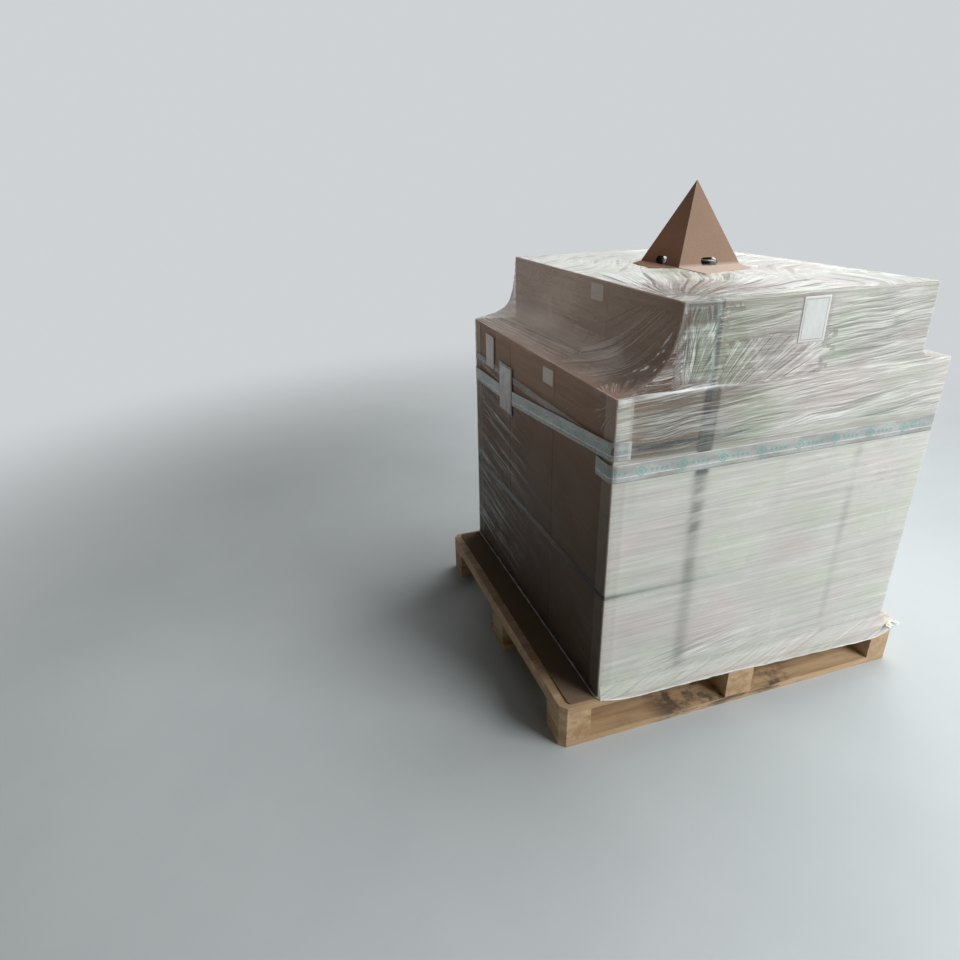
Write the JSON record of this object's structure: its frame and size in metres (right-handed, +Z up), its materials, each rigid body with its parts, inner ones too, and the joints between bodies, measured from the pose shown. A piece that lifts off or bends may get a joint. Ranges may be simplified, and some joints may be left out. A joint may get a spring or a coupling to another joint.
{
  "type": "shrink wrapped pallet load",
  "caption": "Stretch wrapped stack of cartons on a wooden block pallet, with corner boards, straps, printed tape and a folded cardboard cone on top.",
  "frame": {"origin": "middle of the pallet's underside, on the floor", "axes": "+X along the pallet's long front side to the right, +Y from the front to the back, +Z up"},
  "size_m": [1.2, 1.0706, 1.4761],
  "materials": {
    "pallet_wood": "rough sawn pine",
    "base_cardboard": "plain",
    "carton_cardboard": "plain",
    "board_cardboard": "plain",
    "strap_plastic": "embossed",
    "stretch_film": "clear, wrinkled",
    "tape_film": "printed in teal",
    "label_paper": "plain",
    "cone_cardboard": "plain"
  },
  "bodies": {
    "root": {"deck_board_1": "pallet_wood", "deck_board_2": "pallet_wood", "deck_board_3": "pallet_wood", "deck_board_4": "pallet_wood", "deck_board_5": "pallet_wood", "deck_board_6": "pallet_wood", "deck_board_7": "pallet_wood", "deck_board_8": "pallet_wood", "deck_board_9": "pallet_wood", "deck_board_10": "pallet_wood", "stringer_board_1": "pallet_wood", "stringer_board_2": "pallet_wood", "stringer_board_3": "pallet_wood", "pallet_block_1": "pallet_wood", "pallet_block_2": "pallet_wood", "pallet_block_3": "pallet_wood", "pallet_block_4": "pallet_wood", "pallet_block_5": "pallet_wood", "pallet_block_6": "pallet_wood", "pallet_block_7": "pallet_wood", "pallet_block_8": "pallet_wood", "pallet_block_9": "pallet_wood", "bottom_board_1": "pallet_wood", "bottom_board_2": "pallet_wood", "bottom_board_3": "pallet_wood", "base_sheet": "base_cardboard", "carton_tier_1": "carton_cardboard", "carton_tier_2": "carton_cardboard", "carton_tier_3": "carton_cardboard", "carton_tier_4": "carton_cardboard", "carton_tier_5": "carton_cardboard", "corner_board_front_left": "board_cardboard", "corner_board_back_left": "board_cardboard", "corner_board_front_right": "board_cardboard", "corner_board_back_right": "board_cardboard", "upright_strap_left": "strap_plastic", "upright_strap_right": "strap_plastic", "level_strap_lower": "strap_plastic", "level_strap_upper": "strap_plastic", "stretch_wrap": "stretch_film", "tape_band": "tape_film", "front_label": "label_paper", "side_label": "label_paper", "document_pouch": "label_paper", "pallet_cone": "cone_cardboard"}
  },
  "joints": []
}
